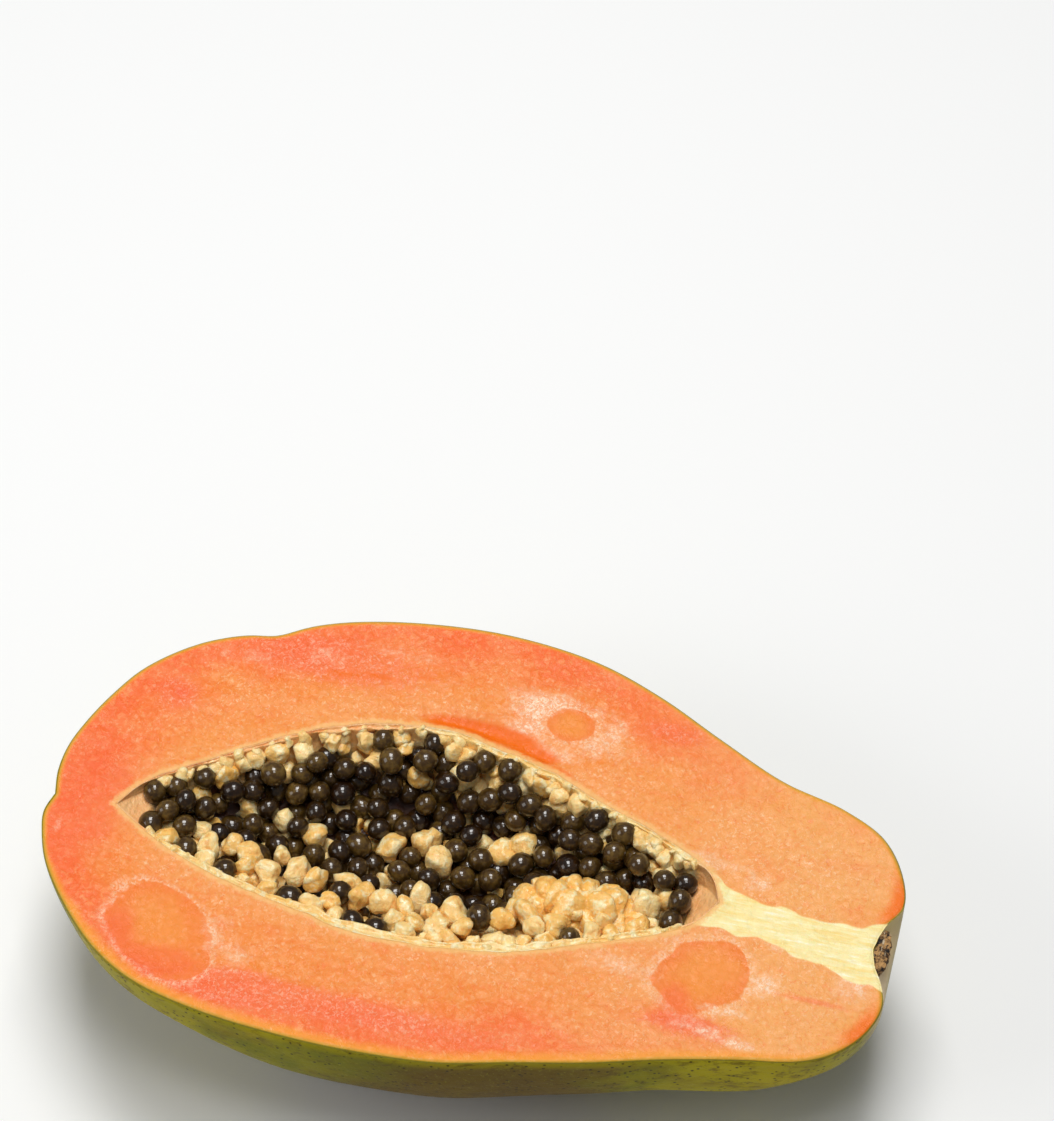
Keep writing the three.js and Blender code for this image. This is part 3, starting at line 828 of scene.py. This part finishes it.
def ball_directions(steps):
    """Points over a ball from a grid on each side of a cube, with the cells' corners."""
    line = np.tan(np.linspace(-1, 1, steps + 1) * HALF_TURN / 4)
    a, b = np.meshgrid(line, line, indexing="ij")
    one = np.ones_like(a)
    sides = [(one, a, b), (-one, b, a), (b, one, a), (a, -one, b), (a, b, one), (b, a, -one)]
    points = np.vstack([np.stack(side, axis=-1).reshape(-1, 3) for side in sides])
    count = (steps + 1) ** 2
    cells = np.vstack([grid_quads(steps + 1, steps + 1, k * count, turned=True) for k in range(6)])
    _, kept, number = np.unique(np.round(points, 6), axis=0, return_index=True, return_inverse=True)
    points = points[kept]
    return points / np.linalg.norm(points, axis=1, keepdims=True), number.reshape(-1)[cells]


def repeated(shapes, cells, values):
    """One set of points and cells from many copies, with each copy's value on its points."""
    copies, count = shapes.shape[:2]
    every = cells[None] + (np.arange(copies) * count)[:, None, None]
    spread = {name: np.repeat(value, count) for name, value in values.items()}
    return shapes.reshape(-1, 3), every.reshape(-1, 4), spread


def random_turns(random, count):
    """Turns of every kind alike, from random unit quaternions."""
    q = random.normal(size=(count, 4))
    w, x, y, z = (q / np.linalg.norm(q, axis=1, keepdims=True)).T
    return np.stack(
        [
            np.stack([1 - 2 * (y * y + z * z), 2 * (x * y - w * z), 2 * (x * z + w * y)], -1),
            np.stack([2 * (x * y + w * z), 1 - 2 * (x * x + z * z), 2 * (y * z - w * x)], -1),
            np.stack([2 * (x * z - w * y), 2 * (y * z + w * x), 1 - 2 * (x * x + y * y)], -1),
        ],
        axis=1,
    )


def rim_rows(random):
    """Candidates in rows along both rims, as places, reaches and which are lumps."""
    places, reaches, lumps = [], [], []
    for turn, inward, drop, apart, lump_share in RIM_ROWS:
        share = np.arange(0.07, 0.895 if turn == 0 else 0.89, apart / 162)
        share = share + random.uniform(-0.004, 0.004, len(share))
        rim = cavity(share, turn * HALF_TURN)
        half_width = np.abs(rim - section_middle(cavity, share))[:, 1]
        share = share[half_width > inward + 3.5]
        lump = random.uniform(0, 1, len(share)) < lump_share
        seed_reach = SEED_RADIUS * random.uniform(0.9, 1.05, len(share))
        reach = np.where(lump, random.uniform(2.6, 4.0, len(share)), seed_reach)
        place = inside_cavity(share, turn * HALF_TURN, inward + 0.9 * reach)
        place[:, 2] = DEPTH - drop - reach * random.uniform(0.95, 1.25, len(share))
        places.append(place)
        reaches.append(reach)
        lumps.append(lump)
    return np.vstack(places), np.concatenate(reaches), np.concatenate(lumps)


def fill_hollow(random):
    """Places and reaches of lumps and seeds over the pulp: rows along the rims, then random spots
    in turn, each kept where it has room. Lumps crowd on the near side and hang on the far side,
    and seeds take the rest, some of them in a second layer."""
    share = random.uniform(0.075, 0.92, TRIES)
    angle = random.uniform(0.1, HALF_TURN - 0.1, TRIES)
    far = np.exp(-((angle / 0.5) ** 2))
    near = np.exp(-(((HALF_TURN - angle) / 0.85) ** 2))
    lump = random.uniform(0, 1, TRIES) < 0.05 + 0.22 * far + 0.8 * near
    seed_reach = SEED_RADIUS * random.uniform(0.88, 1.07, TRIES)
    reach = np.where(lump, random.uniform(2.2, 3.7, TRIES), seed_reach)
    second = (random.uniform(0, 1, TRIES) < 0.25) & (angle < 2.2)
    lump_rise = random.uniform(0.6, 2.2, TRIES)
    seed_rise = random.uniform(1.8, 2.8, TRIES) + 4 * second
    rise = np.where(lump, lump_rise, seed_rise)
    place = inside_cavity(share, angle, lining_depth(share, angle) + rise)
    fits = place[:, 2] < DEPTH - 0.95 * reach - 0.15
    fits &= ~lump | (share < 0.88)
    row_places, row_reaches, row_lumps = rim_rows(random)
    places = np.vstack([row_places, place[fits]])
    reaches = np.concatenate([row_reaches, reach[fits]])
    lumps = np.concatenate([row_lumps, lump[fits]])

    along = np.linspace(-0.62, 0.62, 6)[:, None]
    mound = np.array(MOUND_AT) + along * np.array([MOUND_REACH[0], 2.0, 0])
    mound = np.column_stack([mound, np.full(6, MOUND_REACH[1])])
    made = np.zeros((len(mound) + len(MAIN_LUMPS) + len(places), 4))
    count = len(mound) + len(MAIN_LUMPS)
    made[:count] = np.vstack([mound, MAIN_LUMPS])
    is_lump = np.ones(len(made), bool)
    for place, size, kind in zip(places, reaches, lumps):
        apart = np.linalg.norm(made[:count, :3] - place, axis=1)
        to_lump, to_seed = (
            (LUMPS_APART, LUMP_AND_SEED_APART) if kind else (LUMP_AND_SEED_APART, SEEDS_APART)
        )
        close = np.where(is_lump[:count], to_lump, to_seed)
        if (apart > close * (made[:count, 3] + size)).all():
            made[count] = (*place, size)
            is_lump[count] = kind
            count += 1
    made, is_lump = made[len(mound):count], is_lump[len(mound):count]
    return made[is_lump], made[~is_lump]


def popcorn(random, lumps, steps):
    """Chunks of pulp: each is a mean of the outside of six balls around its middle and of a solid
    with nine flat sides, read along every direction, then stretched, turned and roughened."""
    directions, cells = ball_directions(steps)
    count = len(lumps)
    centres = random.normal(size=(count, 6, 3))
    centres *= (random.uniform(0.38, 0.7, (count, 6)) / np.linalg.norm(centres, axis=2))[..., None]
    radii = random.uniform(0.38, 0.56, (count, 6))
    along = np.einsum("vk,cbk->cvb", directions, centres)
    inside = radii[:, None] ** 2 - (centres ** 2).sum(2)[:, None] + along ** 2
    balls = np.where(inside > 0, along + np.sqrt(np.maximum(inside, 0)), 0).max(axis=2)
    sides = random.normal(size=(count, 9, 3))
    sides /= np.linalg.norm(sides, axis=2, keepdims=True)
    facing = np.einsum("vk,cbk->cvb", directions, sides)
    side_at = random.uniform(0.58, 0.92, (count, 1, 9))
    flats = np.where(facing > 0.3, side_at / np.maximum(facing, 0.3), 1.15)
    reach = 0.4 * np.maximum(balls, 0.5) + 0.6 * flats.min(axis=2)
    shapes = directions * reach[..., None]
    shapes = shapes * random.uniform(0.85, 1.22, (count, 1, 3)) * lumps[:, None, 3:]
    shapes = np.einsum("cij,cvj->cvi", random_turns(random, count), shapes)
    points = lumps[:, None, :3] + shapes
    ridges = 0.3 - np.abs(smooth_noise(points, 2.9, 33))
    rough = 1.15 * ridges + 0.36 * smooth_noise(points, 1.7, 31)
    points += rough[..., None] * directions[None]
    points[..., 2] = np.minimum(points[..., 2], DEPTH + 0.25)
    return points, cells


def pulp_mound(random):
    """A mound in rounded lobes: it swells towards the middle of each lobe and dips where a point is
    as far from one lobe's middle as from the next."""
    directions, cells = ball_directions(MOUND_CELLS)
    points = directions * MOUND_REACH
    middles = random.normal(size=(LOBE_COUNT, 3))
    middles = middles / np.linalg.norm(middles, axis=1, keepdims=True) * MOUND_REACH
    warped = points + 0.8 * smooth_noise(points, 5, 81)[:, None]
    apart = np.linalg.norm((warped[:, None] - middles) / LOBE, axis=2)
    nearest, second = np.sort(apart, axis=1)[:, :2].T
    crease = np.exp(-(((second - nearest) / 0.16) ** 2))
    rough = 0.5 * (0.3 - np.abs(smooth_noise(points, 3.0, 85)))
    rough = rough + 0.2 * smooth_noise(points, 1.6, 83, 2)
    rise = 1.7 * np.clip(1 - nearest ** 2, 0, 1) - 1.2 * crease + rough
    points = points + directions * rise[:, None] + MOUND_AT
    points[:, 2] = np.minimum(points[:, 2], DEPTH - 0.2)
    # More golden in the creases between lobes: partly painted shade.
    values = {"tint": 0.8 + 0.5 * crease, "jelly": 0 * nearest, "bare": 0 * nearest}
    material = bpy.data.materials["pale_pulp"]
    return add_piece("pulp_mound", points, cells, [material], "pulp_lining", None, values)


def pulp_wall():
    """The pulp on the wall of the hollow: out along its surface, over a lip at the near rim, back
    along the wall and over a lip at the far rim. Near both tips it is a thin skin on a ramp."""
    along = stations(PULP_ALONG, 0.004)[:, None]
    angle = np.linspace(0, HALF_TURN, PULP_ROUND + 1)
    filled = np.clip((along - 0.05) / 0.05, 0.1, 1) * np.clip((0.945 - along) / 0.04, 0.1, 1)
    thick = lining_depth(along, angle)
    front = inside_cavity(along, angle, thick)
    bumps = 0.9 * smooth_noise(front, 5.5, 41, 2) + 0.3 * smooth_noise(front, 2.2, 44)
    depth = thick * (0.2 + 0.8 * filled) - bumps * filled
    front = inside_cavity(along, angle, depth)
    back = inside_cavity(along, angle[::-1], LINING_GAP)
    share = np.linspace(0, 1, LIP_STEPS + 2)[1:-1]
    lips = []
    for edge, wall in ((front[:, -1:], back[:, :1]), (front[:, :1], back[:, -1:])):
        lip = edge + (wall - edge) * share[:, None]
        crumbly = 0.9 * np.abs(smooth_noise(lip, 2.8, 45, 2)) - 1.0
        lip[..., 2] += filled * crumbly * np.sin(HALF_TURN * share)
        lips.append(lip)
    by_rim = np.clip(1 - np.sin(angle) * 3, 0, 1)
    drop = 0.15 + 0.6 * np.abs(smooth_noise(front, 3.2, 47, 2))
    front[..., 2] -= filled * by_rim * drop
    tips = section_middle(cavity, np.array([0.0, 1.0]))
    to_tips = [np.linalg.norm(front - tip, axis=2) for tip in tips]
    from_tip = np.minimum(to_tips[0] * 0.34, to_tips[1] * 0.5)
    ramp = DEPTH - 0.2 - from_tip + 0.25 * smooth_noise(front, 4, 49)
    front[..., 2] = np.where(filled < 0.5, np.maximum(front[..., 2], ramp), front[..., 2])
    rows = np.concatenate([front, lips[0], back, lips[1][:, ::-1], front[:, :1]], axis=1)
    rows[..., 2] = np.minimum(rows[..., 2], DEPTH - 0.1)
    ends = tips - np.array([0, 0, 0.1])
    first, last = (np.broadcast_to(end, (1, *rows.shape[1:])) for end in ends)
    rows = np.concatenate([first, rows, last])
    points = rows.reshape(-1, 3)
    lip_angle = np.ones(LIP_STEPS)
    side = np.concatenate([angle, HALF_TURN * lip_angle, angle[::-1], 0 * lip_angle, angle[:1]])
    fill = np.concatenate([filled[:1], filled, filled[-1:]]) * np.ones_like(side)
    far_rim = np.exp(-((side / 0.5) ** 2)) * np.ones_like(fill)
    golden = far_rim * np.clip(-points[:, 0] / 40, 0, 0.75).reshape(fill.shape)
    values = {
        "tint": 0.5 + 0.5 * smooth_noise(points, 7, 51, 2),
        # Dark jelly on the lower far wall: partly real jelly, partly painted shade.
        "jelly": (np.exp(-(((side - 1.25) / 0.75) ** 2)) * fill).reshape(-1),
        "bare": np.maximum(1 - fill, golden).reshape(-1),
    }
    cells = grid_quads(*rows.shape[:2])
    return add_piece("pulp_wall", points, cells, [pale_pulp()], "pulp_lining", None, values)


def rim_crumbs(random):
    """Small crumbs of pulp along both rims of the hollow, as x, y, z and reach."""
    share = np.concatenate([stations(FAR_CRUMBS, 0.08), stations(NEAR_CRUMBS, 0.08)])
    share = share + random.uniform(-0.006, 0.006, len(share))
    angle = np.where(np.arange(len(share)) <= FAR_CRUMBS, 0.04, HALF_TURN - 0.04)
    size = random.uniform(1.2, 2.5, len(share))
    at = inside_cavity(share, angle, 0.35 * size + random.uniform(0, 0.8, len(share)))
    at[:, 2] = DEPTH - size * random.uniform(0.85, 1.25, len(share))
    return np.column_stack([at, size])


def seed_cluster(random, seeds):
    """Seeds as slightly uneven eggs, each turned its own way."""
    directions, cells = ball_directions(SEED_CELLS)
    eggs = directions * np.array([1, 1, SEED_STRETCH])
    eggs = eggs * (1 + 0.06 * directions[:, 2:])
    turns = random_turns(random, len(seeds))
    shapes = np.einsum("cij,vj->cvi", turns, eggs) * seeds[:, None, 3:]
    places = seeds[:, None, :3]
    shapes = shapes * (1 + 0.03 * smooth_noise(shapes + 9 * places, 3, 61))[..., None]
    tint = random.uniform(0, 1, len(seeds)) ** 1.3
    points, cells, values = repeated(shapes + places, cells, {"tint": tint})
    return add_piece("seed_cluster", points, cells, [seed_coat()], "seeds", None, values)


def stalk_rest():
    """The corky plug in the stalk's pit: a half disc whose surface is broken up by noise."""
    directions, cells = ball_directions(PLUG_CELLS)
    points = directions * np.array(PLUG_REACH)
    points += directions * (0.8 * smooth_noise(points, 1.7, 71, 3))[..., None]
    points += np.array(PLUG_AT)
    points[:, 2] = np.minimum(points[:, 2], DEPTH - 0.5 + 0.25 * smooth_noise(points, 1.5, 73))
    return add_piece("stalk_rest", points, cells, [dry_cork()], "stalk_plug")


def pulp_and_seeds():
    """All pulp and seeds over the wall of the hollow."""
    pulp_wall()
    random = np.random.default_rng(RANDOM_START)
    lumps, seeds = fill_hollow(random)
    groups = {
        "pulp_lumps": (lumps, LUMP_CELLS, 1.0),
        "pulp_crumbs": (rim_crumbs(random), CRUMB_CELLS, 0.5),
    }
    for name, (group, steps, most_golden) in groups.items():
        shapes, cells = popcorn(random, group, steps)
        tint = random.uniform(0, most_golden, len(group))
        values = {"tint": tint, "jelly": 0 * tint, "bare": 0 * tint}
        points, cells, values = repeated(shapes, cells, values)
        material = bpy.data.materials["pale_pulp"]
        add_piece(name, points, cells, [material], "pulp_lining", None, values)
    pulp_mound(random)
    seed_cluster(random, seeds)


def studio():
    """A pale floor, a large light from above and behind, one from above in front, a weak one from
    the left, and a dim white room."""
    mesh = bpy.data.meshes.new("floor")
    turns = ((-1, -1), (1, -1), (1, 1), (-1, 1))
    corners = [(FLOOR_REACH * x, FLOOR_REACH * y, 0) for x, y in turns]
    mesh.from_pydata(corners, [], [(0, 1, 2, 3)])
    floor = bpy.data.objects.new("floor", mesh)
    bpy.context.scene.collection.objects.link(floor)
    paper = Recipe("floor_paper", Roughness=0.9, Base_Color=(0.93, 0.93, 0.92, 1))
    mesh.materials.append(paper.material)
    world = bpy.data.worlds.new("room")
    world.use_nodes = True
    background = world.node_tree.nodes["Background"]
    background.inputs["Color"].default_value = (0.96, 0.98, 1.0, 1)
    background.inputs["Strength"].default_value = ROOM_LIGHT
    bpy.context.scene.world = world
    for name, (place, size, power) in LIGHTS.items():
        lamp = bpy.data.lights.new(name, "AREA")
        lamp.energy = power
        lamp.size = size
        light = bpy.data.objects.new(name, lamp)
        light.location = place
        toward = Vector(LIGHTS_AIM) - Vector(place)
        light.rotation_euler = toward.to_track_quat("-Z", "Y").to_euler()
        bpy.context.scene.collection.objects.link(light)


def camera():
    """The photograph's view: from the near side, a little to the right, 55 degrees above level."""
    lens = bpy.data.cameras.new("camera")
    lens.lens = LENS
    lens.sensor_width = 36
    lens.clip_end = 20
    eye = bpy.data.objects.new("camera", lens)
    right = Vector(CAMERA_RIGHT).normalized()
    ahead = Vector(CAMERA_AHEAD).normalized()
    upward = right.cross(ahead)
    turn = Matrix((right, upward, -ahead)).transposed().to_4x4()
    eye.matrix_world = Matrix.Translation(Vector(CAMERA_AT) * MM) @ turn
    bpy.context.scene.collection.objects.link(eye)
    bpy.context.scene.camera = eye


camera()
flesh_and_skin()
pulp_and_seeds()
stalk_rest()
studio()
bpy.context.scene.view_settings.view_transform = "Standard"
